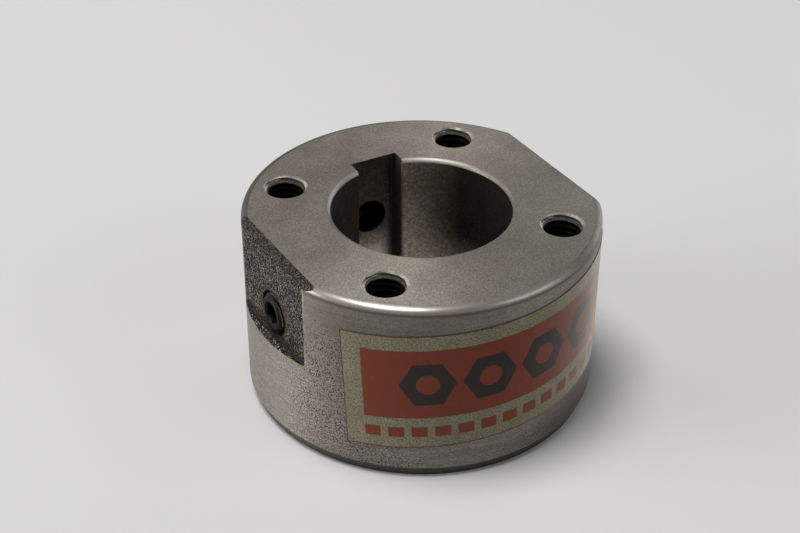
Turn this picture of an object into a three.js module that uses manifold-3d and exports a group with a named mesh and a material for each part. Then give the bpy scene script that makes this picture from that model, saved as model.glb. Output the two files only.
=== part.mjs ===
// Hub half of a bolted jaw coupling: a cast hub with a keyed shaft bore, four tapped holes in its
// bolting face, two cast pockets on opposite sides, two socket set screws and a wrap-around label.
//
// Millimetres. Origin on the bore's axis in the seating face. +Z runs along the bore towards the
// bolting face, +X and -X are the normals of the two pocket floors, and +Y points at the keyway.

import * as THREE from 'three';
import { mergeVertices } from 'three/addons/utils/BufferGeometryUtils.js';
import Module from 'manifold-3d';

const wasm = await Module();
wasm.setup();

const degrees = Math.PI / 180;

// Hub casting, turned all over but for its pockets
const hub = {
  radius: 41.5,
  height: 46,
  rimRun: 1.6, // rounded edge of the bolting face
  rimRise: 1.2,
  footRise: 2.7, // steep chamfer at the seating face
  footRun: 1.05,
  facets: 96,
};

// Shaft bore for a 42 mm shaft with a 12 mm wide key
const bore = { radius: 21, chamfer: 0.9 };
const keyway = { width: 12, floor: 24.3, turn: -2.5 * degrees };

// M10 screw thread, shared by the tapped holes and the set screws
const thread = { radius: 5, drillRadius: 4.25, clearance: 0.15, facets: 32 };

// Four blind tapped holes in the bolting face
const boltHole = { count: 4, pitchRadius: 32.75, depth: 24, mouthRadius: 5.15, drillPoint: 118 * degrees };

// Cast pockets at -X and +X, each with a flat floor above a ledge. The floor is a distance from the
// bore's axis, and the edge is that distance where the floor, or the bevel above it, meets the face.
const pocket = { ledge: 24.1, fillet: 0.8, bevelDrop: 1.1 };
const screwPocket = { turn: Math.PI, floor: 38.8, edge: 36.8 };
const plainPocket = { turn: 0, floor: 36.5, edge: 36.5 };

// Radial holes for the set screws, tapped from outside, with the last stretch left at drill size
const screwHole = { height: 29.8, lipRadius: 4.35, lipLength: 1.2, mouthRadius: 5.35 };

// M10 x 12 socket set screw with a cup point
const screw = {
  length: 12,
  radius: thread.radius - thread.clearance,
  headChamfer: 0.8,
  pointRadius: 2.75,
  cupRadius: 2.3,
  cupDepth: 1.2,
  keySize: 5,
  socketDepth: 5,
  socketCone: 1.2,
};
const flatScrewTip = 27.55; // distance of each screw's point from the bore's axis
const keywayScrewTip = 28.9;

// Adhesive film, a rectangle wrapped on the hub's side and stuck on slightly crooked
const label = {
  width: 80,
  height: 30.4,
  thickness: 0.25,
  gap: 0.1,
  tilt: 2.8 * degrees,
  azimuth: 269.9 * degrees,
  middle: 25.2,
};

const overshoot = 1; // how far a cutter runs past the face it opens

const castIron = { color: 0x8b867f, roughness: 0.45, metalness: 0.9 };
const blackOxide = { color: 0x1f1f22, roughness: 0.4, metalness: 0.8 };
const film = { color: 0x8f8d6f, roughness: 0.35, metalness: 0.0 };

function weld(geometry) {
  geometry.deleteAttribute('normal');
  geometry.deleteAttribute('uv');
  return mergeVertices(geometry);
}

function toSolid(geometry) {
  const welded = weld(geometry);
  return new wasm.Manifold(new wasm.Mesh({
    numProp: 3,
    vertProperties: new Float32Array(welded.attributes.position.array),
    triVerts: new Uint32Array(welded.index.array),
  }));
}

function toGeometry(solid) {
  const mesh = solid.getMesh();
  const geometry = new THREE.BufferGeometry();
  geometry.setAttribute('position', new THREE.BufferAttribute(mesh.vertProperties, mesh.numProp));
  geometry.setIndex(new THREE.BufferAttribute(mesh.triVerts, 1));
  return geometry;
}

// Turned solid about Z from [radius, height] pairs that run up its outside
function turned(profile, facets) {
  const points = profile.map(([radius, height]) => new THREE.Vector2(radius, height));
  return new THREE.LatheGeometry(points, facets).rotateX(Math.PI / 2);
}

// [radius, height] pairs along a quarter of an ellipse that ends flush with the top
function quarterRound(outer, top, run, rise, steps) {
  return Array.from({ length: steps + 1 }, (_, step) => {
    const angle = (step / steps) * (Math.PI / 2);
    return [outer - run + run * Math.cos(angle), top - rise + rise * Math.sin(angle)];
  });
}

function hubBlank() {
  const { radius, height, rimRun, rimRise, footRise, footRun, facets } = hub;
  const start = [bore.radius + bore.chamfer, 0];
  return turned([
    start,
    [radius - footRun, 0],
    [radius, footRise],
    ...quarterRound(radius, height, rimRun, rimRise, 4),
    [bore.radius + bore.chamfer, height],
    [bore.radius, height - bore.chamfer],
    [bore.radius, bore.chamfer],
    start,
  ], facets);
}

function keywayCutter() {
  const inner = bore.radius / 2;
  const depth = keyway.floor - inner;
  return new THREE.BoxGeometry(keyway.width, depth, hub.height + 2 * overshoot)
    .translate(0, inner + depth / 2, hub.height / 2)
    .rotateZ(keyway.turn);
}

function boltHoleCutter(index) {
  const angle = (index + 0.5) * (2 * Math.PI / boltHole.count);
  const bottom = hub.height - boltHole.depth;
  const sink = boltHole.mouthRadius - thread.drillRadius;
  return turned([
    [0, bottom - thread.drillRadius / Math.tan(boltHole.drillPoint / 2)],
    [thread.drillRadius, bottom],
    [thread.drillRadius, hub.height - sink],
    [boltHole.mouthRadius + overshoot, hub.height + overshoot],
    [0, hub.height + overshoot],
  ], thread.facets).translate(
    boltHole.pitchRadius * Math.cos(angle),
    boltHole.pitchRadius * Math.sin(angle),
    0,
  );
}

// Removes what lies outside one pocket's floor and above its ledge
function pocketCutter({ turn, floor, edge }) {
  const { ledge, fillet, bevelDrop } = pocket;
  const outline = new THREE.Shape();
  outline.moveTo(floor, hub.height - bevelDrop);
  outline.lineTo(edge - (floor - edge) * overshoot / bevelDrop, hub.height + overshoot);
  outline.lineTo(hub.radius + overshoot, hub.height + overshoot);
  outline.lineTo(hub.radius + overshoot, ledge);
  outline.lineTo(floor + fillet, ledge);
  outline.absarc(floor + fillet, ledge + fillet, fillet, -Math.PI / 2, -Math.PI, true);
  const span = 2 * hub.radius;
  return new THREE.ExtrudeGeometry(outline, { depth: span, bevelEnabled: false, curveSegments: 3 })
    .translate(0, 0, -span / 2)
    .rotateX(Math.PI / 2)
    .rotateZ(turn);
}

// Radial hole along +Z from the bore's axis, opened out at the mouth where it meets the outside
function screwHoleCutter(inner, mouth) {
  const tapped = thread.radius + thread.clearance;
  const sink = screwHole.mouthRadius - tapped;
  return turned([
    [0, inner - overshoot],
    [screwHole.lipRadius, inner - overshoot],
    [screwHole.lipRadius, inner + screwHole.lipLength],
    [tapped, inner + screwHole.lipLength],
    [tapped, mouth - sink],
    [screwHole.mouthRadius, mouth],
    [screwHole.mouthRadius, mouth + overshoot],
    [0, mouth + overshoot],
  ], thread.facets);
}

function hubBody() {
  const flatHole = screwHoleCutter(bore.radius, screwPocket.floor)
    .rotateY(-Math.PI / 2)
    .translate(0, 0, screwHole.height);
  const keywayHole = screwHoleCutter(keyway.floor, hub.radius)
    .rotateX(-Math.PI / 2)
    .translate(0, 0, screwHole.height);
  const pockets = [screwPocket, plainPocket].map(pocketCutter);
  const cutters = [keywayCutter(), ...pockets, flatHole, keywayHole];
  for (let index = 0; index < boltHole.count; index += 1) {
    cutters.push(boltHoleCutter(index));
  }
  return cutters.reduce((body, cutter) => body.subtract(toSolid(cutter)), toSolid(hubBlank()));
}

// Set screw along +Z with its point at the origin and its socket at the far end
function setScrew() {
  const { length, radius, headChamfer, pointRadius, cupRadius, cupDepth } = screw;
  const blank = turned([
    [0, cupDepth],
    [cupRadius, 0],
    [pointRadius, 0],
    [radius, radius - pointRadius],
    [radius, length - headChamfer],
    [radius - headChamfer, length],
    [0, length],
  ], thread.facets);
  const cornerRadius = screw.keySize / 2 / Math.cos(Math.PI / 6);
  const depth = screw.socketDepth + overshoot;
  const socket = new THREE.CylinderGeometry(cornerRadius, cornerRadius, depth, 6)
    .rotateX(Math.PI / 2)
    .translate(0, 0, length - screw.socketDepth + depth / 2);
  const drillPoint = turned([
    [0, length - screw.socketDepth - screw.socketCone],
    [screw.keySize / 2, length - screw.socketDepth + overshoot / 2],
    [0, length - screw.socketDepth + overshoot / 2],
  ], thread.facets);
  return toSolid(blank).subtract(toSolid(socket)).subtract(toSolid(drillPoint));
}

// Flat rectangle, turned by its tilt and then bent round the hub's side
function labelFilm() {
  const inner = hub.radius + label.gap;
  const sheet = new THREE.BoxGeometry(label.width, label.height, label.thickness, 40, 4, 1)
    .rotateZ(label.tilt);
  const position = sheet.attributes.position;
  for (let index = 0; index < position.count; index += 1) {
    const angle = label.azimuth + position.getX(index) / hub.radius;
    const radius = inner + label.thickness / 2 + position.getZ(index);
    const height = label.middle + position.getY(index);
    position.setXYZ(index, radius * Math.cos(angle), radius * Math.sin(angle), height);
  }
  return weld(sheet);
}

function piece(name, geometry, finish) {
  const mesh = new THREE.Mesh(geometry, new THREE.MeshStandardMaterial(finish));
  mesh.name = name;
  return mesh;
}

const coupling = new THREE.Group();

coupling.add(piece('hub_body', toGeometry(hubBody()), castIron));

const flatScrew = piece('flat_set_screw', toGeometry(setScrew()), blackOxide);
flatScrew.position.set(-flatScrewTip, 0, screwHole.height);
flatScrew.rotation.set(0, -Math.PI / 2, 0);
coupling.add(flatScrew);

const keywayScrew = piece('keyway_set_screw', toGeometry(setScrew()), blackOxide);
keywayScrew.position.set(0, keywayScrewTip, screwHole.height);
keywayScrew.rotation.set(-Math.PI / 2, 0, 0);
coupling.add(keywayScrew);

coupling.add(piece('label_film', labelFilm(), film));

export default coupling;
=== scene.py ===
import math

import bmesh
import bpy
import numpy as np
from mathutils import Matrix, Vector, noise


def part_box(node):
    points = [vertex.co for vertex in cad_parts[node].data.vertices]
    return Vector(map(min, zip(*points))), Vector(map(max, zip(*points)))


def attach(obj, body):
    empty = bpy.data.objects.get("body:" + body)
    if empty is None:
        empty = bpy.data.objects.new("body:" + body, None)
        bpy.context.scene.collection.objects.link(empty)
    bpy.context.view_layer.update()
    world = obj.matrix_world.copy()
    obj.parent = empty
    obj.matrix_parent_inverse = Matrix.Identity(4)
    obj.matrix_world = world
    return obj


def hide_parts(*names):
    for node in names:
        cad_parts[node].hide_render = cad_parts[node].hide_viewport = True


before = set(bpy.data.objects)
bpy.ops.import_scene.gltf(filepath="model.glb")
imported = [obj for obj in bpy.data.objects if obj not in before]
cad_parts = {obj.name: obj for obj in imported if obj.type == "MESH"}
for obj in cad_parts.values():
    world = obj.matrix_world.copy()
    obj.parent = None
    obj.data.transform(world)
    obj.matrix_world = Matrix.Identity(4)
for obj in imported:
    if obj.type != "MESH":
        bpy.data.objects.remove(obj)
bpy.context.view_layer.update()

# Everything is built in millimetres in the frame of the CAD model, and scaled to metres at the end.
MM = 0.001
TURN = 2 * math.pi

hub_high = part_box("hub_body")[1] / MM
flat_screw_low, flat_screw_high = (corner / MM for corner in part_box("flat_set_screw"))
KEYWAY_SCREW_TIP = (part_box("keyway_set_screw")[0] / MM).y
FLAT_SCREW_TIP = -flat_screw_high.x

RADIUS = hub_high.y
HEIGHT = hub_high.z
OVERSHOOT = 1.0
AROUND = 288

RIM_ROUND = 1.2
RIM_RUN = 1.6
FOOT_RISE = 2.7
FOOT_RUN = 1.05
BORE_RADIUS = 21.0
BORE_ROUND = 0.9

KEYWAY_WIDTH = 12.0
KEYWAY_FLOOR = 24.3
KEYWAY_TURN = math.radians(-2.5)

PITCH = 1.5
ROWS_PER_PITCH = 10
BOLT_CIRCLE = 32.75
BOLT_DEPTH = 24.0
BOLT_MINOR = 4.25
BOLT_MAJOR = 5.0
BOLT_MOUTH = 5.15

POCKET_LEDGE = 24.1
POCKET_FILLET = 0.8
SCREW_POCKET_FLOOR = 38.8
SCREW_POCKET_EDGE = 36.8
SCREW_POCKET_BEVEL = 1.1
WORN_EDGE_LEAN = 0.18  # how far the planed-off upright edges face towards or away from +Y
SCREW_POCKET_CORNER = 14.72  # half the floor's width, out to the turned side
PLAIN_POCKET_FLOOR = 36.5

SCREW_HEIGHT = (flat_screw_low.z + flat_screw_high.z) / 2
SCREW_LENGTH = flat_screw_high.x - flat_screw_low.x
SCREW_CREST = 4.9
SCREW_ROOT = 4.1
SCREW_KEY = 5.0
SCREW_SOCKET_DEPTH = 5.0
SCREW_HOLE_LIP = 4.35
SCREW_HOLE_MINOR = 5.03
SCREW_HOLE_MAJOR = 5.3
SCREW_HOLE_MOUTH = 5.35

LABEL_WIDTH = 80.0
LABEL_HEIGHT = 30.4
LABEL_TILT = math.radians(2.8)
LABEL_AZIMUTH = math.radians(269.9)
LABEL_MIDDLE = 25.2
LABEL_THICKNESS = 0.1


# ---------------------------------------------------------------- meshes

def new_object(name, vertices, faces):
    mesh = bpy.data.meshes.new(name)
    mesh.from_pydata([tuple(vertex) for vertex in vertices], [], faces)
    edit = bmesh.new()
    edit.from_mesh(mesh)
    bmesh.ops.recalc_face_normals(edit, faces=edit.faces)
    edit.to_mesh(mesh)
    edit.free()
    made = bpy.data.objects.new(name, mesh)
    bpy.context.scene.collection.objects.link(made)
    return made


def skin(name, rings, wrap=False):
    """Closed solid over rings of equal length, capped at both ends or with its ends joined."""
    rings = np.asarray(rings, float)
    count, around = rings.shape[:2]
    faces = []
    for row in range(count if wrap else count - 1):
        near = row * around
        far = (row + 1) % count * around
        for step in range(around):
            following = (step + 1) % around
            faces.append((near + step, near + following, far + following, far + step))
    if not wrap:
        faces.append(tuple(range(around)))
        faces.append(tuple(range((count - 1) * around, count * around)))
    return new_object(name, rings.reshape(-1, 3), faces)


def circle_rings(profile, around):
    """Rings about Z from (radius, height) pairs; a radius may be an array with a value for each step."""
    angles = np.arange(around) * TURN / around
    rings = []
    for radius, height in profile:
        radius = np.broadcast_to(radius, around)
        level = np.full(around, height)
        rings.append(np.stack([radius * np.cos(angles), radius * np.sin(angles), level], 1))
    return rings


def arc(centre, radius, start, end, steps):
    """Points on an arc in the plane of a section, from angles in degrees; the radius may be a pair."""
    across, up = radius if isinstance(radius, tuple) else (radius, radius)
    points = []
    for step in range(steps + 1):
        angle = math.radians(start + (end - start) * step / steps)
        points.append((centre[0] + across * math.cos(angle), centre[1] + up * math.sin(angle)))
    return points


def resampled(path, spacing):
    """The same path with points at most the spacing apart."""
    points = [path[0]]
    for start, end in zip(path, path[1:]):
        steps = max(1, math.ceil(math.dist(start, end) / spacing))
        for step in range(1, steps + 1):
            share = step / steps
            points.append(tuple(a + (b - a) * share for a, b in zip(start, end)))
    return points


def cut(target, cutters):
    for cutter in cutters:
        modifier = target.modifiers.new("cut", "BOOLEAN")
        modifier.operation = "DIFFERENCE"
        modifier.solver = "MANIFOLD"
        modifier.object = cutter
    graph = bpy.context.evaluated_depsgraph_get()
    result = bpy.data.meshes.new_from_object(target.evaluated_get(graph))
    target.modifiers.clear()
    target.data = result
    for cutter in cutters:
        bpy.data.objects.remove(cutter)


def place(piece, matrix):
    piece.data.transform(matrix)
    piece.data.update()


def smooth_but_sharp(mesh, degrees, apart=None, flat=None):
    """Smooth shading with every edge sharper than the angle kept crisp. Faces of the material apart don't
    blend into others, and those of the material flat only where they are almost level with them."""
    edit = bmesh.new()
    edit.from_mesh(mesh)
    for edge in edit.edges:
        indices = {face.material_index for face in edge.link_faces}
        limit = degrees
        if len(indices) == 2 and apart in indices:
            limit = 0
        elif flat in indices:
            limit = 12
        edge.smooth = len(edge.link_faces) == 2 and edge.calc_face_angle(0) < math.radians(limit)
    for face in edit.faces:
        face.smooth = True
    edit.to_mesh(mesh)
    edit.free()


def finish_piece(piece, node, body):
    piece.data.transform(Matrix.Scale(MM, 4))
    piece.data.update()
    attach(piece, body)
    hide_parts(node)


# ---------------------------------------------------------------- hub

def hub_blank():
    steps = 8
    rim_low = HEIGHT - RIM_ROUND
    inner = BORE_RADIUS + BORE_ROUND
    profile = [
        (inner, 0),
        (inner + 0.2, 0),
        (RADIUS - FOOT_RUN - 0.2, 0),
        (RADIUS - FOOT_RUN, 0),
        (RADIUS - 0.08, FOOT_RISE - 0.2),
        (RADIUS, FOOT_RISE),
        (RADIUS, FOOT_RISE + 0.3),
        (RADIUS, HEIGHT / 2),
        (RADIUS, rim_low - 0.2),
        *arc((RADIUS - RIM_RUN, rim_low), (RIM_RUN, RIM_ROUND), 0, 90, 12),
        (RADIUS - RIM_RUN - 0.2, HEIGHT),
        (inner + 0.2, HEIGHT),
        *arc((inner, HEIGHT - BORE_ROUND), BORE_ROUND, 90, 180, steps),
        (BORE_RADIUS, HEIGHT - BORE_ROUND - 0.2),
        (BORE_RADIUS, HEIGHT / 2),
        (BORE_RADIUS, BORE_ROUND + 0.2),
        *arc((inner, BORE_ROUND), BORE_ROUND, 180, 265, steps),
    ]
    return skin("hub_casting", circle_rings(profile, AROUND), wrap=True)


def thread_depth(height, around):
    """0 on the crest and 1 in the root of a 60 degree thread, for each step round one height."""
    crest_flat = 0.125
    root_flat = 0.25
    phase = height / PITCH - np.arange(around) / around
    away = np.abs((phase % 1.0) * 2 - 1)
    return np.clip((1 - root_flat - away) / (1 - root_flat - crest_flat), 0, 1)


def bolt_hole_cutter(angle):
    around = 64
    bottom = HEIGHT - BOLT_DEPTH
    first_thread = bottom + 3
    tip = bottom - BOLT_MINOR / math.tan(math.radians(59))
    profile = [(0.05, tip), (BOLT_MINOR, bottom), (BOLT_MINOR, first_thread - 0.2)]
    rows = round((HEIGHT + OVERSHOOT - first_thread) / PITCH * ROWS_PER_PITCH)
    for row in range(rows + 1):
        height = first_thread + row * PITCH / ROWS_PER_PITCH
        fade = min(1, row / ROWS_PER_PITCH)
        groove = 1 - thread_depth(height, around)
        radius = BOLT_MINOR + (BOLT_MAJOR - BOLT_MINOR) * fade * groove
        profile.append((np.maximum(radius, BOLT_MOUTH - (HEIGHT - height)), height))
    cutter = skin("bolt_hole", circle_rings(profile, around))
    place(cutter, Matrix.Translation((BOLT_CIRCLE * math.cos(angle), BOLT_CIRCLE * math.sin(angle), 0)))
    return cutter


def screw_hole_cutter(inner, mouth, turn):
    """Radial hole from the bore's axis outwards, grooved clear of the screw that slides in it."""
    around = 64
    profile = [(SCREW_HOLE_LIP, inner - OVERSHOOT), (SCREW_HOLE_LIP, inner + 1.0)]
    first = inner + 1.2
    rows = round((mouth + OVERSHOOT - first) / PITCH * ROWS_PER_PITCH)
    for row in range(rows + 1):
        along = first + row * PITCH / ROWS_PER_PITCH
        groove = 1 - thread_depth(along, around)
        radius = SCREW_HOLE_MINOR + (SCREW_HOLE_MAJOR - SCREW_HOLE_MINOR) * groove
        profile.append((np.maximum(radius, SCREW_HOLE_MOUTH - abs(mouth - along)), along))
    cutter = skin("screw_hole", circle_rings(profile, around))
    lay_down = Matrix.Rotation(math.pi / 2, 4, "Y")
    place(cutter, Matrix.Translation((0, 0, SCREW_HEIGHT)) @ Matrix.Rotation(turn, 4, "Z") @ lay_down)
    return cutter


def keyway_cutter():
    """Broached slot with small corner rounds."""
    half = KEYWAY_WIDTH / 2
    outline = [
        (-half, BORE_RADIUS / 2),
        (half, BORE_RADIUS / 2),
        *arc((half - 0.25, KEYWAY_FLOOR - 0.25), 0.25, 0, 90, 3),
        *arc((-half + 0.25, KEYWAY_FLOOR - 0.25), 0.25, 90, 180, 3),
    ]
    heights = [-OVERSHOOT, HEIGHT / 2, HEIGHT + OVERSHOOT]
    cutter = skin("keyway", [[(x, y, height) for x, y in outline] for height in heights])
    place(cutter, Matrix.Rotation(KEYWAY_TURN, 4, "Z"))
    return cutter


def grain(point, size, depth):
    """Seeded unevenness of a sand-cast skin."""
    coarse = noise.noise(Vector(point) / (size * 5))
    middle = noise.noise(Vector(point) / size + Vector((7.3, 1.9, 4.1)))
    fine = noise.noise(Vector(point) / (size * 0.5) + Vector((2.7, 8.1, 5.5)))
    return depth * (0.5 * coarse + 0.35 * middle + 0.3 * fine)


def pocket_cutter(side, path, calm_above):
    """Rough cutter for one pocket from the section of its surface, outer end of the ledge first."""
    spacing = 0.36
    surface = resampled(path, spacing)
    half_length = 22.5
    columns = math.ceil(2 * half_length / spacing)
    sections = []
    for column in range(columns + 1):
        along = -half_length + 2 * half_length * column / columns
        ring = []
        for index, (distance, height) in enumerate(surface):
            before = surface[max(index - 1, 0)]
            after = surface[min(index + 1, len(surface) - 1)]
            tangent = Vector((after[0] - before[0], after[1] - before[1])).normalized()
            depth = 0.05 if height > calm_above else 0.22
            offset = grain((side * distance, along, height), 0.8, depth)
            ring.append((side * (distance - tangent.y * offset), along, height + tangent.x * offset))
        ring.append((side * (RADIUS + 2), along, HEIGHT + 2))
        sections.append(ring)
    return skin("pocket", sections)


def screw_pocket_path():
    floor_top = HEIGHT - SCREW_POCKET_BEVEL
    fillet = (SCREW_POCKET_FLOOR + POCKET_FILLET, POCKET_LEDGE + POCKET_FILLET)
    return [
        (RADIUS + 2, POCKET_LEDGE),
        *arc(fillet, POCKET_FILLET, -90, -180, 4),
        (SCREW_POCKET_FLOOR, floor_top - 0.2),
        (SCREW_POCKET_FLOOR - 0.25, floor_top + 0.05),
        (SCREW_POCKET_EDGE + 0.25, HEIGHT - 0.12),
        (SCREW_POCKET_EDGE - 0.1, HEIGHT + 0.02),
        (SCREW_POCKET_EDGE - 3, HEIGHT + 0.8),
    ]


def plain_pocket_path():
    fillet = (PLAIN_POCKET_FLOOR + POCKET_FILLET, POCKET_LEDGE + POCKET_FILLET)
    return [
        (RADIUS + 2, POCKET_LEDGE),
        *arc(fillet, POCKET_FILLET, -90, -180, 4),
        (PLAIN_POCKET_FLOOR, HEIGHT - 0.3),
        (PLAIN_POCKET_FLOOR - 0.1, HEIGHT - 0.1),
        (PLAIN_POCKET_FLOOR - 0.3, HEIGHT + 0.02),
        (PLAIN_POCKET_FLOOR - 1.8, HEIGHT + 0.8),
    ]


def corner_cutter(floor, side, end):
    """Thin prism that breaks the sharp corner where a pocket's floor meets the turned side."""
    reach = 0.2
    corner = Vector((side * floor, end * math.sqrt(RADIUS**2 - floor**2)))
    into_floor = Vector((0, -end))
    along_side = Vector((-side * abs(corner.y), end * floor)).normalized()
    sections = []
    steps = 60
    for step in range(steps + 1):
        height = POCKET_LEDGE + (HEIGHT + OVERSHOOT - POCKET_LEDGE) * step / steps
        worn = reach * (1 + 0.45 * noise.noise(Vector((corner.x, corner.y, height / 1.7))))
        inner = corner + into_floor * worn
        outer = corner + along_side * worn
        away = (inner - corner + outer - corner).normalized() * -1
        points = [inner - (outer - inner) * 0.6, outer + (outer - inner) * 0.6]
        points += [points[1] + away * 1.2, points[0] + away * 1.2]
        sections.append([(point.x, point.y, height) for point in points])
    return skin("worn_corner", sections)


# ---------------------------------------------------------------- set screws

def socket_cutter():
    corner = SCREW_KEY / 2 / math.cos(math.pi / 6)
    outline = []
    for index in range(6):
        middle = index * math.pi / 3
        for shift in (-0.05, 0, 0.05):
            radius = SCREW_KEY / 2 / math.cos(math.pi / 6 - abs(shift)) if shift else corner * 0.985
            outline.append((radius * math.cos(middle + shift), radius * math.sin(middle + shift)))
    bottom = SCREW_LENGTH - SCREW_SOCKET_DEPTH
    rings = [[(x, y, height) for x, y in outline] for height in (bottom, SCREW_LENGTH + OVERSHOOT)]
    return skin("socket", rings)


def set_screw(name):
    """Cup-point set screw along +Z with its point at the origin and its socket at the far end."""
    around = 72
    chamfer = 1.0
    profile = [(0.05, 1.2), (1.2, 0.62), (2.2, 0.08), (2.3, 0.0), (2.75, 0.0)]
    rows = round(SCREW_LENGTH / PITCH * ROWS_PER_PITCH)
    for row in range(1, rows + 1):
        height = row * PITCH / ROWS_PER_PITCH
        depth = thread_depth(height, around)
        radius = SCREW_CREST - (SCREW_CREST - SCREW_ROOT) * depth
        point_cone = 2.75 + height
        head_cone = SCREW_CREST - chamfer + (SCREW_LENGTH - height)
        profile.append((np.minimum(radius, min(point_cone, head_cone)), height))
    last_radius, last_height = profile.pop()
    profile.append((last_radius, last_height - 0.08))
    profile.append((last_radius - 0.1, last_height))
    profile.append((3.4, last_height))
    made = skin(name, circle_rings(profile, around))
    mouth = skin("socket_mouth", circle_rings([
        (2.2, SCREW_LENGTH - 0.85),
        (3.1, SCREW_LENGTH + 0.05),
        (3.1, SCREW_LENGTH + OVERSHOOT),
    ], around))
    drill = skin("socket_drill", circle_rings([
        (0.05, SCREW_LENGTH - SCREW_SOCKET_DEPTH - 1.2),
        (2.45, SCREW_LENGTH - SCREW_SOCKET_DEPTH),
        (2.45, SCREW_LENGTH - SCREW_SOCKET_DEPTH + 0.5),
    ], around))
    cut(made, [socket_cutter(), mouth, drill])
    return made


# ---------------------------------------------------------------- label

def label_mesh():
    """Film bent round the hub, with its flat millimetre coordinates kept as the attribute sheet."""
    columns = 160
    rows = 60
    sections = []
    sheet = []
    for column in range(columns + 1):
        across = LABEL_WIDTH * (column / columns - 0.5)
        outer = []
        inner = []
        flat = []
        for row in range(rows + 1):
            up = LABEL_HEIGHT * (row / rows - 0.5)
            turned_across = across * math.cos(LABEL_TILT) - up * math.sin(LABEL_TILT)
            turned_up = across * math.sin(LABEL_TILT) + up * math.cos(LABEL_TILT)
            azimuth = LABEL_AZIMUTH + turned_across / RADIUS
            corner = math.hypot(across + LABEL_WIDTH / 2, up + LABEL_HEIGHT / 2)
            lift = 0.14 * max(0, 1 - corner / 4) ** 2  # the lower left corner has begun to peel
            lift += 0.012 * (1 + noise.noise(Vector((across, up, 3.7)) / 3.1))
            base = RADIUS + 0.04 + lift
            height = LABEL_MIDDLE + turned_up
            for points, radius in ((outer, base + LABEL_THICKNESS), (inner, base)):
                points.append((radius * math.cos(azimuth), radius * math.sin(azimuth), height))
            flat.append((across, up, 0.0))
        sections.append(outer + inner[::-1])
        sheet.extend(flat + flat[::-1])
    made = skin("label", sections)
    attribute = made.data.attributes.new("sheet", "FLOAT_VECTOR", "POINT")
    attribute.data.foreach_set("vector", np.array(sheet, np.float32).ravel())
    return made


# ---------------------------------------------------------------- materials

class Shader:
    """Builds one node material; values passed as sockets are linked and others are set."""

    def __init__(self, name):
        self.material = bpy.data.materials.new(name)
        self.material.use_nodes = True
        self.tree = self.material.node_tree
        self.surface = self.tree.nodes["Principled BSDF"]

    def node(self, kind, inputs, **settings):
        made = self.tree.nodes.new(kind)
        for key, value in settings.items():
            setattr(made, key, value)
        for key, value in inputs.items():
            self.put(made, key, value)
        return made

    def put(self, node, key, value):
        if isinstance(value, bpy.types.NodeSocket):
            self.tree.links.new(value, node.inputs[key])
        else:
            node.inputs[key].default_value = value

    def math(self, operation, first, second=0.0):
        return self.node("ShaderNodeMath", {0: first, 1: second}, operation=operation).outputs[0]

    def plus(self, first, second):
        return self.math("ADD", first, second)

    def minus(self, first, second):
        return self.math("SUBTRACT", first, second)

    def times(self, first, second):
        return self.math("MULTIPLY", first, second)

    def larger(self, first, second):
        return self.math("MAXIMUM", first, second)

    def span(self, value, low, high, to_low=0.0, to_high=1.0):
        """Linear from one range to the other, held at both ends."""
        inputs = {"Value": value, "From Min": low, "From Max": high, "To Min": to_low, "To Max": to_high}
        return self.node("ShaderNodeMapRange", inputs, clamp=True).outputs[0]

    def mix(self, share, first, second):
        made = self.node("ShaderNodeMix", {0: share}, data_type="RGBA")
        self.put(made, 6, first)
        self.put(made, 7, second)
        return made.outputs[2]

    def vector(self, x, y, z):
        return self.node("ShaderNodeCombineXYZ", {0: x, 1: y, 2: z}).outputs[0]

    def stretched(self, vector, factors):
        return self.node("ShaderNodeVectorMath", {0: vector, 1: factors}, operation="MULTIPLY").outputs[0]

    def noise(self, vector, detail=2.0, roughness=0.5):
        inputs = {"Vector": vector, "Scale": 1.0, "Detail": detail, "Roughness": roughness}
        return self.node("ShaderNodeTexNoise", inputs).outputs["Fac"]

    def cells(self, vector):
        return self.node("ShaderNodeTexVoronoi", {"Vector": vector, "Scale": 1.0}).outputs["Distance"]

    def bump(self, height, distance):
        return self.node("ShaderNodeBump", {"Height": height, "Distance": distance}).outputs[0]

    def place(self):
        """Object position in millimetres: the vector and its three parts."""
        position = self.node("ShaderNodeTexCoord", {}).outputs["Object"]
        position = self.stretched(position, (1 / MM, 1 / MM, 1 / MM))
        parts = self.node("ShaderNodeSeparateXYZ", {0: position}).outputs
        return position, parts[0], parts[1], parts[2]

    def brushed_round(self, amount):
        """Highlights stretched across tool marks that run round the Z axis."""
        tangent = self.node("ShaderNodeTangent", {}, direction_type="RADIAL", axis="Z")
        self.put(self.surface, "Tangent", tangent.outputs[0])
        self.put(self.surface, "Anisotropic", amount)
        self.put(self.surface, "Anisotropic Rotation", 0.25)

    def finish(self, **inputs):
        names = {"color": "Base Color", "metal": "Metallic", "rough": "Roughness", "normal": "Normal"}
        for key, value in inputs.items():
            self.put(self.surface, names.get(key, key), value)
        return self.material


def distance_from_axis(shader, x, y):
    squares = shader.plus(shader.times(x, x), shader.times(y, y))
    return shader.math("SQRT", squares)


def inside(shader, value, low, high, soft=0.08):
    """1 where low < value < high, with soft edges."""
    rising = shader.span(value, low - soft, low + soft)
    falling = shader.span(value, high - soft, high + soft, 1.0, 0.0)
    return shader.times(rising, falling)


def pits(shader, position, spacing, size):
    """1 inside small pits, about one to each cube of the spacing, with a radius of size spacings."""
    scale = 1 / spacing
    away = shader.cells(shader.stretched(position, (scale, scale, scale)))
    return shader.span(shader.minus(away, size), 0.0, 0.1, 1.0, 0.0)


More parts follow.
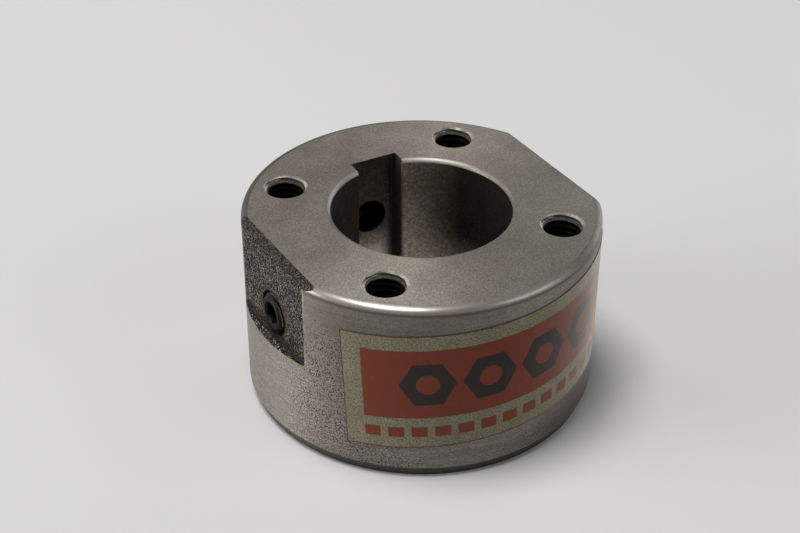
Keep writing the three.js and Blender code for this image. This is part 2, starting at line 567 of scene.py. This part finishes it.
def with_arris(shader, base, x, y, z):
    """The colour with the screw pocket's upright edges paler, partly as wear and partly as a painted
    highlight.
    """
    away = shader.math("ABSOLUTE", y)
    arris = inside(shader, away, SCREW_POCKET_CORNER - 0.42, SCREW_POCKET_CORNER + 0.12, 0.1)
    arris = shader.times(arris, shader.math("LESS_THAN", x, 0.0))
    floor_top = HEIGHT - SCREW_POCKET_BEVEL
    arris = shader.times(arris, inside(shader, z, POCKET_LEDGE, floor_top - 0.1, 0.15))
    # Wear and painted highlight along the pocket's upright edges.
    return shader.mix(shader.times(arris, 0.65), base, (0.22, 0.203, 0.172, 1))


def turned_side():
    """Turned cast iron, its pores crowded low down and by the screw's pocket, its rim painted with
    highlights.
    """
    shader = Shader("turned_side")
    position, x, y, z = shader.place()
    rings = shader.noise(shader.stretched(position, (0.05, 0.05, 2.6)), 4.0, 0.7)
    cloud = shader.noise(shader.stretched(position, (0.09, 0.09, 0.16)), 3.0)
    fine = shader.noise(shader.stretched(position, (2.6, 2.6, 2.9)), 2.0, 0.7)
    tone = shader.noise(shader.stretched(position, (0.7, 0.7, 1.3)), 3.0, 0.7)
    outer = shader.span(distance_from_axis(shader, x, y), 30.0, 32.0)
    rim_low = HEIGHT - RIM_ROUND
    rim = shader.span(z, rim_low - 0.1, rim_low + 0.5)
    wear = shader.times(shader.span(x, -32.0, -12.0, 1.0, 0.0), shader.span(y, -16.0, -2.0, 1.0, 0.3))
    low = shader.span(z, 24.0, 6.0, 0.0, 0.55)
    crowd = shader.larger(wear, low)
    crowd = shader.times(crowd, shader.span(z, 41.0, 31.0, 0.25, 1.0))
    crowd = shader.plus(crowd, shader.span(cloud, 0.4, 0.7, -0.2, 0.3))
    pore = pits(shader, position, 0.42, shader.span(crowd, 0.0, 1.0, 0.02, 0.33))
    pore = shader.times(pore, shader.minus(1.0, rim))
    base = shader.mix(shader.span(cloud, 0.3, 0.7), (0.27, 0.245, 0.212, 1), (0.335, 0.307, 0.271, 1))
    base = shader.mix(shader.span(tone, 0.35, 0.68, 0.0, 0.45), base, (0.15, 0.13, 0.108, 1))
    base = shader.mix(shader.span(rings, 0.40, 0.60, 0.0, 0.55), base, (0.14, 0.122, 0.102, 1))
    base = shader.mix(shader.span(fine, 0.42, 0.60, 0.0, 0.62), base, (0.085, 0.075, 0.063, 1))
    # Painted shade: the side darker high up, most towards -X.
    upper = shader.times(shader.span(z, 20.0, 38.0), shader.span(x, -8.0, 14.0, 0.48, 0.0))
    # Painted shade: the side darker low down towards +X.
    low_shade = shader.times(shader.span(z, 16.0, 5.0), shader.span(x, -12.0, 12.0, 0.0, 0.92))
    base = shader.mix(upper, base, (0.10, 0.088, 0.073, 1))
    base = shader.mix(low_shade, base, (0.078, 0.067, 0.054, 1))
    base = shader.mix(pore, base, (0.012, 0.010, 0.008, 1))
    # Painted shade: the foot's chamfer darkened, where it faces the shadowed floor at the contact.
    foot = shader.span(z, FOOT_RISE + 0.1, FOOT_RISE - 0.3, 0.0, 0.8)
    base = shader.mix(foot, base, (0.02, 0.018, 0.016, 1))
    # Painted shade: a dark band just under the rim's rounding.
    under_rim = inside(shader, z, rim_low - 0.7, rim_low - 0.1, 0.2)
    base = shader.mix(under_rim, base, (0.09, 0.08, 0.068, 1))
    # Painted highlight: the rim paler in front and round the back of the bore's mouth.
    forward = shader.plus(shader.times(x, -0.60), shader.times(y, -0.80))
    front_highlight = shader.times(outer, shader.span(forward, 18.0, 38.0))
    mouth = shader.times(shader.minus(1.0, outer), shader.span(y, 6.0, 18.0, 0.0, 0.6))
    rim_highlight = shader.times(rim, shader.larger(shader.times(front_highlight, 0.5), mouth))
    # Painted shade: the outer rim darker away from the front.
    rim_shade = shader.times(shader.minus(rim, shader.times(rim, front_highlight)), outer)
    base = shader.mix(shader.times(rim_shade, 0.5), base, (0.085, 0.075, 0.065, 1))
    base = shader.mix(rim_highlight, base, (0.40, 0.375, 0.345, 1))
    base = with_arris(shader, base, x, y, z)
    rough = shader.span(rings, 0.3, 0.7, 0.42, 0.55)
    rough = shader.minus(rough, shader.times(rim, shader.span(front_highlight, 0.0, 1.0, -0.04, 0.14)))
    height = shader.minus(shader.times(rings, 0.35), pore)
    normal = shader.bump(height, 0.00006)
    shader.brushed_round(0.7)
    return shader.finish(color=base, metal=0.7, rough=rough, normal=normal)


def turned_face():
    """Faced ends: fine concentric tool marks, faint stains, small pores and painted shade towards +X and
    -Y.
    """
    shader = Shader("turned_face")
    position, x, y, _ = shader.place()
    radius = distance_from_axis(shader, x, y)
    grooves = shader.noise(shader.vector(shader.times(radius, 3.0), 0.0, 0.0), 3.0, 0.7)
    cloud = shader.noise(shader.stretched(position, (0.11, 0.11, 0.11)), 4.0, 0.6)
    stain = shader.noise(shader.stretched(position, (0.45, 0.45, 0.45)), 4.0, 0.65)
    fine = shader.noise(shader.stretched(position, (2.0, 2.0, 2.0)), 3.0, 0.7)
    nick = shader.noise(shader.stretched(position, (1.1, 1.6, 1.6)), 2.0, 0.8)
    base = shader.mix(shader.span(cloud, 0.35, 0.65), (0.252, 0.23, 0.199, 1), (0.325, 0.299, 0.262, 1))
    base = shader.mix(shader.span(stain, 0.5, 0.75, 0.0, 0.5), base, (0.19, 0.15, 0.12, 1))
    base = shader.mix(shader.span(fine, 0.40, 0.62, 0.0, 0.64), base, (0.09, 0.08, 0.068, 1))
    base = shader.mix(shader.span(nick, 0.66, 0.74, 0.0, 0.7), base, (0.42, 0.40, 0.37, 1))
    # Painted shade: the face darker towards +X and -Y.
    sideways = shader.minus(shader.times(x, 0.85), shader.times(y, 0.53))
    base = shader.mix(shader.span(sideways, -10.0, 36.0, 0.0, 0.28), base, (0.12, 0.11, 0.097, 1))
    rough = shader.span(grooves, 0.3, 0.7, 0.38, 0.48)
    height = shader.plus(shader.times(grooves, 0.6), shader.times(fine, -0.6))
    normal = shader.bump(height, 0.00004)
    shader.brushed_round(0.6)
    return shader.finish(color=base, metal=0.7, rough=rough, normal=normal)


def cast_skin():
    """Rough sand-cast skin of the pockets, dark in its hollows, with painted shade in the corner over the
    ledge and painted glints on the ledge.
    """
    shader = Shader("cast_skin")
    position, x, y, z = shader.place()
    sand = shader.span(shader.cells(shader.stretched(position, (2.5, 2.5, 2.5))), 0.1, 0.6, 0.74, 0.38)
    speckle = shader.noise(shader.stretched(position, (2.6, 2.6, 2.6)), 3.0, 0.8)
    grit = shader.plus(shader.times(sand, 0.45), shader.times(speckle, 0.55))
    clumps = shader.noise(shader.stretched(position, (0.5, 0.5, 0.5)), 3.0)
    level = shader.plus(grit, shader.times(clumps, 0.12))
    out = shader.math("ABSOLUTE", x)
    on_screw_side = shader.math("LESS_THAN", x, 0.0)
    further_out = shader.times(on_screw_side, SCREW_POCKET_FLOOR - PLAIN_POCKET_FLOOR)
    floor_out = shader.plus(further_out, PLAIN_POCKET_FLOOR)
    beyond = shader.minus(out, floor_out)
    # Painted shade in the corner above the ledge.
    corner = shader.span(z, POCKET_LEDGE + 2.6, POCKET_LEDGE + 0.6)
    corner = shader.times(corner, shader.span(beyond, 1.7, 0.7))
    top = shader.span(z, HEIGHT - SCREW_POCKET_BEVEL - 0.15, HEIGHT - SCREW_POCKET_BEVEL + 0.05)
    from_screw = distance_from_axis(shader, y, shader.minus(z, SCREW_HEIGHT))
    # Darker in a ring round the screw.
    screw_halo = shader.times(shader.span(from_screw, 7.2, 5.4, 0.0, 0.75), on_screw_side)
    grains = shader.span(level, 0.552, 0.632)
    base = shader.mix(grains, (0.002, 0.002, 0.0015, 1), (0.235, 0.211, 0.178, 1))
    base = shader.mix(screw_halo, base, (0.030, 0.027, 0.023, 1))
    base = shader.mix(shader.times(corner, 0.85), base, (0.010, 0.009, 0.008, 1))
    base = shader.mix(shader.times(top, 0.62), base, (0.020, 0.018, 0.016, 1))
    ledge = shader.span(z, POCKET_LEDGE + 0.5, POCKET_LEDGE + 0.2)
    ledge = shader.times(ledge, shader.span(beyond, 0.8, 1.4))
    # Painted glints: pale specks on the ledge standing in for highlights.
    glint = shader.times(ledge, shader.span(level, 0.585, 0.64))
    base = shader.mix(glint, base, (0.42, 0.40, 0.36, 1))
    base = with_arris(shader, base, x, y, z)
    shader.put(shader.surface, "Specular IOR Level", 0.2)
    rough = shader.span(level, 0.45, 0.75, 0.7, 0.4)
    normal = shader.bump(grit, 0.0006)
    return shader.finish(color=base, metal=0.6, rough=rough, normal=normal)


def bored_wall():
    """Bored wall and keyway: brown stains, painted shade on the sides, at the top of the keyway and by
    its wall, and painted light low on its floor.
    """
    shader = Shader("bored_wall")
    position, x, y, z = shader.place()
    rings = shader.noise(shader.stretched(position, (0.06, 0.06, 4.0)), 3.0, 0.6)
    cloud = shader.noise(shader.stretched(position, (0.14, 0.14, 0.10)), 4.0, 0.6)
    fine = shader.noise(shader.stretched(position, (1.5, 1.5, 1.5)), 3.0, 0.75)
    base = shader.mix(shader.span(cloud, 0.35, 0.65), (0.39, 0.33, 0.265, 1), (0.50, 0.465, 0.40, 1))
    base = shader.mix(shader.span(fine, 0.42, 0.60, 0.0, 0.65), base, (0.14, 0.11, 0.085, 1))
    slot = shader.span(y, 20.3, 20.9)
    key = shader.times(slot, shader.span(z, 20.0, 26.0, 0.0, 0.8))
    key = shader.larger(key, shader.times(slot, shader.span(x, 2.5, 5.5, 0.0, 0.9)))
    left = shader.times(shader.span(x, -3.5, -5.2), shader.span(z, 8.0, 20.0))
    # Painted light: the keyway's floor paler low down.
    keyway_light = shader.times(slot, shader.span(z, 22.0, 16.0, 0.0, 0.7))
    base = shader.mix(keyway_light, base, (0.74, 0.70, 0.62, 1))
    right = shader.times(shader.span(x, 9.0, 18.0, 0.0, 0.94), shader.span(z, 12.0, 26.0))
    wall = shader.times(slot, shader.span(x, 5.7, 6.2))
    # Painted shade on the bore's sides and in the keyway.
    bore_shade = shader.larger(shader.larger(left, right), shader.larger(key, wall))
    base = shader.mix(shader.times(bore_shade, 0.97), base, (0.018, 0.0165, 0.014, 1))
    height = shader.minus(shader.times(rings, 0.05), fine)
    normal = shader.bump(height, 0.00003)
    rough = shader.span(cloud, 0.3, 0.7, 0.24, 0.32)
    metal = shader.span(shader.larger(left, wall), 0.0, 1.0, 0.8, 0.0)
    shader.put(shader.surface, "Specular IOR Level", 0.1)
    return shader.finish(color=base, metal=metal, rough=rough, normal=normal)


def tapped_wall():
    """Cut threads, painted nearly black as shade inside the holes but for the first turns at the mouth.
    """
    shader = Shader("tapped_wall")
    position, _, _, z = shader.place()
    fine = shader.noise(shader.stretched(position, (1.8, 1.8, 1.8)), 3.0, 0.6)
    # Painted shade: the threads nearly black inside the holes.
    base = shader.mix(shader.span(fine, 0.4, 0.7), (0.007, 0.0065, 0.006, 1), (0.003, 0.003, 0.0025, 1))
    mouth = shader.times(shader.span(z, HEIGHT - 2.4, HEIGHT - 1.2), shader.span(fine, 0.3, 0.5))
    base = shader.mix(shader.times(mouth, 0.3), base, (0.16, 0.15, 0.135, 1))
    normal = shader.bump(fine, 0.00004)
    shader.put(shader.surface, "Specular IOR Level", 0.02)
    rough = shader.span(fine, 0.3, 0.7, 0.6, 0.75)
    return shader.finish(color=base, metal=0.0, rough=rough, normal=normal)


def black_oxide(name, tip, along_x):
    """Black oxide steel with a painted highlight here and there on one side of the edge of its socket
    end.
    """
    shader = Shader(name)
    position, x, y, z = shader.place()
    along, across = (x, y) if along_x else (y, x)
    reach = shader.minus(shader.math("ABSOLUTE", along), tip)
    rise = shader.minus(z, SCREW_HEIGHT)
    radius = distance_from_axis(shader, across, rise)
    fine = shader.noise(shader.stretched(position, (1.5, 1.5, 1.5)), 4.0, 0.6)
    end = shader.span(reach, SCREW_LENGTH - 1.15, SCREW_LENGTH - 0.95)
    # Painted highlight: pale patches on the upper edge of the socket end, to one side.
    edge = shader.times(end, shader.span(radius, 4.4, 4.6))
    edge = shader.times(edge, shader.span(fine, 0.3, 0.5))
    edge = shader.times(edge, shader.span(rise, -1.5, 1.0))
    edge = shader.times(edge, shader.span(across, 2.5, 0.0))
    base = shader.mix(shader.span(fine, 0.4, 0.7), (0.004, 0.004, 0.0045, 1), (0.010, 0.0095, 0.009, 1))
    base = shader.mix(edge, base, (0.38, 0.37, 0.35, 1))
    normal = shader.bump(fine, 0.00003)
    rough = shader.span(fine, 0.3, 0.7, 0.36, 0.5)
    shader.put(shader.surface, "Specular IOR Level", 0.06)
    return shader.finish(color=base, metal=0.1, rough=rough, normal=normal)


def label_film():
    """Clear satin film over iron, printed with a plain band, a row of nuts and a broken line."""
    shader = Shader("label_film")
    sheet = shader.node("ShaderNodeAttribute", {}, attribute_name="sheet").outputs["Vector"]
    parts = shader.node("ShaderNodeSeparateXYZ", {0: sheet}).outputs
    across, up = parts[0], parts[1]
    left = shader.plus(across, LABEL_WIDTH / 2)
    grit = shader.noise(shader.stretched(sheet, (2.6, 2.2, 1.0)), 2.0, 0.7)
    cloud = shader.noise(shader.stretched(sheet, (0.16, 0.10, 1.0)), 4.0, 0.6)
    film = shader.mix(shader.span(cloud, 0.3, 0.7), (0.15, 0.136, 0.085, 1), (0.205, 0.19, 0.127, 1))
    film = shader.mix(shader.span(grit, 0.42, 0.62, 0.0, 0.85), film, (0.055, 0.050, 0.030, 1))

    margin = 4.5
    printed = inside(shader, left, margin, LABEL_WIDTH - margin)
    band = shader.times(printed, inside(shader, up, -6.9, 11.4))
    pitch = 14.0
    first = 12.0
    cell = shader.minus(shader.math("MODULO", shader.minus(left, first), pitch), pitch / 2)
    rise = shader.minus(up, 2.2)
    flat = shader.times(shader.math("ABSOLUTE", cell), math.sqrt(3) / 2)
    slant = shader.plus(flat, shader.times(shader.math("ABSOLUTE", rise), 0.5))
    hexagon = shader.larger(shader.math("ABSOLUTE", rise), slant)
    nut = shader.span(hexagon, 5.45, 5.6, 1.0, 0.0)
    hole = shader.span(distance_from_axis(shader, cell, rise), 2.55, 2.7)
    nut = shader.times(shader.times(nut, hole), inside(shader, left, first, first + 4 * pitch))
    beat = shader.math("MODULO", shader.minus(left, margin), 5.2)
    dash = shader.times(inside(shader, beat, 0.0, 3.6), inside(shader, up, -12.2, -9.4))
    dash = shader.times(dash, printed)

    worn = shader.span(grit, 0.35, 0.75, 1.0, 0.88)
    red = shader.times(shader.larger(band, dash), worn)
    color = shader.mix(red, film, (0.117, 0.011, 0.0002, 1))
    color = shader.mix(shader.times(nut, worn), color, (0.002, 0.004, 0.004, 1))

    ragged = shader.noise(shader.stretched(sheet, (0.6, 0.6, 1.0)), 3.0)
    from_side = shader.minus(LABEL_WIDTH / 2, shader.math("ABSOLUTE", across))
    from_top = shader.minus(LABEL_HEIGHT / 2, shader.math("ABSOLUTE", up))
    border = shader.math("MINIMUM", from_side, from_top)
    # Darker along the film's border.
    dark_border = shader.span(border, 0.1, shader.span(ragged, 0.4, 0.7, 0.25, 0.5), 0.9, 0.0)
    color = shader.mix(dark_border, color, (0.015, 0.012, 0.008, 1))
    normal = shader.bump(shader.minus(grit, cloud), 0.00003)
    rough = shader.span(cloud, 0.3, 0.7, 0.22, 0.3)
    shader.put(shader.surface, "Specular IOR Level", 0.08)
    shader.put(shader.surface, "Sheen Weight", 0.8)
    shader.put(shader.surface, "Sheen Roughness", 0.38)
    shader.put(shader.surface, "Sheen Tint", (1.0, 0.93, 0.84, 1))
    return shader.finish(color=color, rough=rough, normal=normal)


def floor_finish():
    shader = Shader("pale_floor")
    position = shader.place()[0]
    cloud = shader.noise(shader.stretched(position, (0.004, 0.004, 0.004)), 2.0)
    base = shader.mix(cloud, (0.388, 0.387, 0.393, 1), (0.41, 0.407, 0.411, 1))
    shader.put(shader.surface, "Specular IOR Level", 0.1)
    return shader.finish(color=base, rough=0.8)


# ---------------------------------------------------------------- pieces

def clothe(piece, material):
    piece.data.materials.clear()
    piece.data.materials.append(material)


SIDE_METAL, FACE_METAL, POCKET_METAL, BORE_METAL, THREAD_METAL = range(5)

hub = hub_blank()
for metal in (turned_side(), turned_face(), cast_skin(), bored_wall(), tapped_wall()):
    hub.data.materials.append(metal)

cutters = [
    keyway_cutter(),
    pocket_cutter(-1, screw_pocket_path(), HEIGHT - SCREW_POCKET_BEVEL + 0.02),
    pocket_cutter(1, plain_pocket_path(), HEIGHT - 0.35),
]
for end in (-1, 1):
    cutters.append(corner_cutter(SCREW_POCKET_FLOOR, -1, end))
    cutters.append(corner_cutter(PLAIN_POCKET_FLOOR, 1, end))
cutters += [bolt_hole_cutter((index + 0.5) * TURN / 4) for index in range(4)]
cutters.append(screw_hole_cutter(BORE_RADIUS, SCREW_POCKET_FLOOR, math.pi))
cutters.append(screw_hole_cutter(KEYWAY_FLOOR, RADIUS, math.pi / 2))
cut(hub, cutters)


def hub_zone(centre, normal):
    """Which of the hub's metals a face shows, from where it lies."""
    radius = math.hypot(centre.x, centre.y)
    bolt_offset = BOLT_CIRCLE / math.sqrt(2)
    bolt = math.hypot(abs(centre.x) - bolt_offset, abs(centre.y) - bolt_offset)
    towards_screw = centre.x < -BORE_RADIUS - 0.3 or centre.y > KEYWAY_FLOOR + 0.1
    across = centre.y if centre.x < -BORE_RADIUS else centre.x
    from_screw = math.hypot(across, centre.z - SCREW_HEIGHT)
    if radius > RADIUS - 0.02:
        return SIDE_METAL
    if bolt < BOLT_MAJOR + 0.2 and HEIGHT - BOLT_DEPTH - 4 < centre.z < HEIGHT - 0.95:
        return THREAD_METAL
    if towards_screw and from_screw < SCREW_HOLE_MOUTH + 0.15:
        return THREAD_METAL
    if normal.z > 0.999 and centre.z > HEIGHT - 0.02 or normal.z < -0.97 and centre.z < 0.02:
        return FACE_METAL
    if bolt < BOLT_MAJOR + 1 and centre.z > HEIGHT - 1:
        return FACE_METAL
    if centre.z > POCKET_LEDGE - 0.4:
        in_screw_pocket = centre.x < -SCREW_POCKET_EDGE + 0.3 and centre.z < HEIGHT - 0.005
        in_plain_pocket = centre.x > PLAIN_POCKET_FLOOR - 0.45
        if worn_face(centre, normal) or rim_face(centre, normal):
            return SIDE_METAL
        if in_screw_pocket or in_plain_pocket:
            return POCKET_METAL
    if radius < KEYWAY_FLOOR + 2 and abs(normal.z) < 0.05:
        return BORE_METAL
    return SIDE_METAL


def worn_face(centre, normal):
    """True on the planed-off upright edges of the screw's pocket."""
    if centre.x > 0 or abs(centre.y) < SCREW_POCKET_CORNER - 0.5 or abs(normal.z) > 0.03:
        return False
    return abs(normal.y * math.copysign(1, centre.y) - WORN_EDGE_LEAN) < 0.02


def rim_face(centre, normal):
    """True on the rounded edge between the side and the bolting face."""
    radius = math.hypot(centre.x, centre.y)
    if radius < RADIUS - RIM_RUN - 0.02 or centre.z < HEIGHT - RIM_ROUND - 0.02:
        return False
    outward = (normal.x * centre.x + normal.y * centre.y) / radius
    level = math.hypot(normal.x, normal.y)
    return outward > 0.985 * level or normal.z > 0.99


for polygon in hub.data.polygons:
    polygon.material_index = hub_zone(polygon.center, polygon.normal)
smooth_but_sharp(hub.data, 40, apart=POCKET_METAL, flat=FACE_METAL)
finish_piece(hub, "hub_body", "hub")

flat_screw = set_screw("pocket_set_screw")
outward = Matrix.Rotation(-math.pi / 2, 4, "Y")
place(flat_screw, Matrix.Translation((-FLAT_SCREW_TIP, 0, SCREW_HEIGHT)) @ outward)
clothe(flat_screw, black_oxide("black_oxide_pocket", FLAT_SCREW_TIP, along_x=True))
smooth_but_sharp(flat_screw.data, 35)
finish_piece(flat_screw, "flat_set_screw", "flat_screw")

keyway_screw = set_screw("key_set_screw")
outward = Matrix.Rotation(-math.pi / 2, 4, "X")
place(keyway_screw, Matrix.Translation((0, KEYWAY_SCREW_TIP, SCREW_HEIGHT)) @ outward)
clothe(keyway_screw, black_oxide("black_oxide_key", KEYWAY_SCREW_TIP, along_x=False))
smooth_but_sharp(keyway_screw.data, 35)
finish_piece(keyway_screw, "keyway_set_screw", "keyway_screw")

label = label_mesh()
clothe(label, label_film())
smooth_but_sharp(label.data, 35)
finish_piece(label, "label_film", "hub")

# ---------------------------------------------------------------- stage

floor = new_object("floor", [(-3, -3, 0), (3, -3, 0), (3, 3, 0), (-3, 3, 0)], [(0, 1, 2, 3)])
clothe(floor, floor_finish())


def area_light(name, azimuth, elevation, distance, size, power, colour=(1, 1, 1)):
    """Soft square lamp aimed at the middle of the hub; the angles are in degrees in the hub's frame."""
    data = bpy.data.lights.new(name, "AREA")
    data.shape = "SQUARE"
    data.size = size
    data.energy = power
    data.color = colour
    lamp = bpy.data.objects.new(name, data)
    bpy.context.scene.collection.objects.link(lamp)
    azimuth = math.radians(azimuth)
    elevation = math.radians(elevation)
    level = math.cos(elevation)
    direction = Vector((level * math.cos(azimuth), level * math.sin(azimuth), math.sin(elevation)))
    lamp.location = direction * distance + Vector((0, 0, HEIGHT * MM / 2))
    lamp.rotation_euler = direction.to_track_quat("Z", "Y").to_euler()


area_light("overhead_lamp", 162, 79, 1.6, 0.60, 31.0, (1.0, 0.985, 0.965))
area_light("window_back", 115, 20, 2.0, 1.0, 9.0)
area_light("window_left", 160, 13, 1.5, 0.8, 22.0)
area_light("window_right", 20, 9, 1.5, 0.9, 10.0)
area_light("front_fill", -50, 26, 1.8, 1.2, 12.0)

world = bpy.data.worlds.new("studio")
world.use_nodes = True
world.node_tree.nodes["Background"].inputs["Color"].default_value = (0.98, 0.97, 1.0, 1)
world.node_tree.nodes["Background"].inputs["Strength"].default_value = 0.11
bpy.context.scene.world = world

# ---------------------------------------------------------------- camera

CAMERA_AZIMUTH = math.radians(-31.8)  # turn of the camera's own frame about Z
CAMERA_DISTANCE = Vector((0, -7.495, 5.770)) * RADIUS * MM
CAMERA_YAW = -0.0158
CAMERA_PITCH = 0.5948
CAMERA_ROLL = 0.0039
CAMERA_LENS = 71.65

forward = Vector((
    math.sin(CAMERA_YAW) * math.cos(CAMERA_PITCH),
    math.cos(CAMERA_YAW) * math.cos(CAMERA_PITCH),
    -math.sin(CAMERA_PITCH),
))
level_right = Vector((math.cos(CAMERA_YAW), -math.sin(CAMERA_YAW), 0))
level_up = level_right.cross(forward)
right = level_right * math.cos(CAMERA_ROLL) + level_up * math.sin(CAMERA_ROLL)
up = level_up * math.cos(CAMERA_ROLL) - level_right * math.sin(CAMERA_ROLL)

camera_data = bpy.data.cameras.new("camera")
camera_data.lens = CAMERA_LENS
camera_data.sensor_width = 36
camera = bpy.data.objects.new("camera", camera_data)
bpy.context.scene.collection.objects.link(camera)
aim = Matrix((right, up, -forward)).transposed().to_4x4()
camera.matrix_world = Matrix.Rotation(CAMERA_AZIMUTH, 4, "Z") @ Matrix.Translation(CAMERA_DISTANCE) @ aim
bpy.context.scene.camera = camera

view = bpy.context.scene.view_settings
view.view_transform = "Standard"
view.look = "None"
view.exposure = 0
